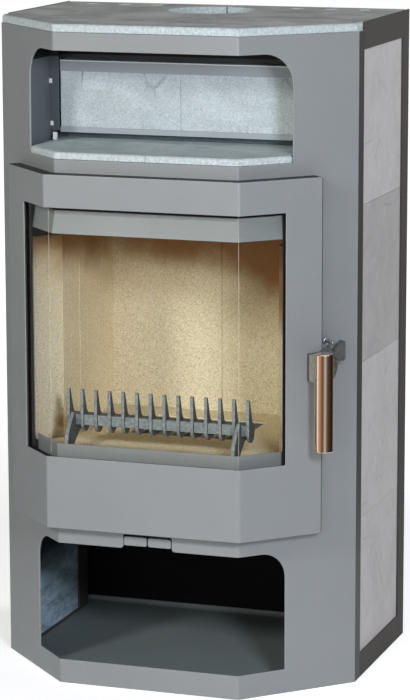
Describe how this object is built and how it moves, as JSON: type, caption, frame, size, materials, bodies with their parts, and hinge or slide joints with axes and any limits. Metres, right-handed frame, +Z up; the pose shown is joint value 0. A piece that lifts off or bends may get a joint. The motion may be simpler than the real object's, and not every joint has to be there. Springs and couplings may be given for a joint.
{
  "type": "tiled stove",
  "caption": "Free-standing log stove with a faceted steel front, soapstone side tiles and top, a warming compartment, a lined firebox behind a glazed hinged door and a log store.",
  "frame": {"origin": "on the floor, under the middle of the cabinet width and depth", "axes": "+X to the right seen from the front, +Y to the rear, +Z up; the front faces -Y"},
  "size_m": [0.63, 0.492, 1.114],
  "materials": {
    "grey_paint": "satin light grey stove paint",
    "dark_paint": "matt dark grey paint",
    "black_paint": "matt black heat-proof paint",
    "soapstone": "honed soapstone with fine mottling",
    "fire_brick": "pressed granular insulating brick",
    "cast_iron": "grey cast iron",
    "chrome": "polished",
    "bright_steel": "plain steel",
    "rope": "glass-fibre rope and tape",
    "glass": "clear heat-proof glass"
  },
  "bodies": {
    "stove": {"base_plate": "dark_paint", "front_shell": "grey_paint", "side_frame_right": "grey_paint", "side_frame_left": "grey_paint", "tile_channel_right": "dark_paint", "tile_channel_left": "dark_paint", "side_tile_1_right": "soapstone", "side_tile_1_left": "soapstone", "side_tile_2_right": "soapstone", "side_tile_2_left": "soapstone", "side_tile_3_right": "soapstone", "side_tile_3_left": "soapstone", "side_tile_4_right": "soapstone", "side_tile_4_left": "soapstone", "rear_panel": "dark_paint", "top_slab": "soapstone", "compartment_liner": "dark_paint", "shelf_slab_right": "soapstone", "shelf_slab_left": "soapstone", "tile_rail_upper": "grey_paint", "tile_rail_lower": "grey_paint", "back_tile_right": "soapstone", "back_tile_left": "soapstone", "firebox_shelf": "black_paint", "firebox_body": "black_paint", "ash_chamber": "black_paint", "flue_collar": "black_paint", "side_brick_front_right": "fire_brick", "side_brick_front_left": "fire_brick", "side_brick_middle_right": "fire_brick", "side_brick_middle_left": "fire_brick", "side_brick_rear_right": "fire_brick", "side_brick_rear_left": "fire_brick", "rear_brick_right": "fire_brick", "rear_brick_left": "fire_brick", "floor_brick_right": "fire_brick", "floor_brick_left": "fire_brick", "baffle_plate": "fire_brick", "grate": "cast_iron", "ash_pan": "bright_steel", "hearth_band": "grey_paint", "air_deflector": "grey_paint", "log_retainer": "cast_iron", "retainer_leg_right": "cast_iron", "retainer_leg_left": "cast_iron", "hinge_bracket_lower": "bright_steel", "hinge_bracket_upper": "bright_steel", "catch_pin": "bright_steel"},
    "door": {"door_frame": "grey_paint", "door_rope": "rope", "glass_centre": "glass", "glass_right": "glass", "glass_left": "glass", "glass_seal": "rope", "glass_clamp": "dark_paint"},
    "latch": {"latch_lever": "cast_iron", "handle_neck": "cast_iron", "grip_tube": "chrome"},
    "primary_air": {"primary_air_slide": "grey_paint"},
    "secondary_air": {"secondary_air_slide": "grey_paint"}
  },
  "joints": [
    {"name": "door_hinge", "type": "hinge", "parent": "stove", "child": "door", "pos_m": [-0.26416, -0.14671, 0.57], "axis": [0, 0, -1], "range_deg": [0, 105]},
    {"name": "latch_turn", "type": "hinge", "parent": "door", "child": "latch", "pos_m": [0.26344, -0.16665, 0.561], "axis": [-0.7116, 0.7026, 0], "range_deg": [0, 50]},
    {"name": "primary_air", "type": "slide", "parent": "stove", "child": "primary_air", "axis": [0, -1, 0], "range_m": [0, 0.04]},
    {"name": "secondary_air", "type": "slide", "parent": "stove", "child": "secondary_air", "axis": [0, -1, 0], "range_m": [0, 0.04]}
  ]
}
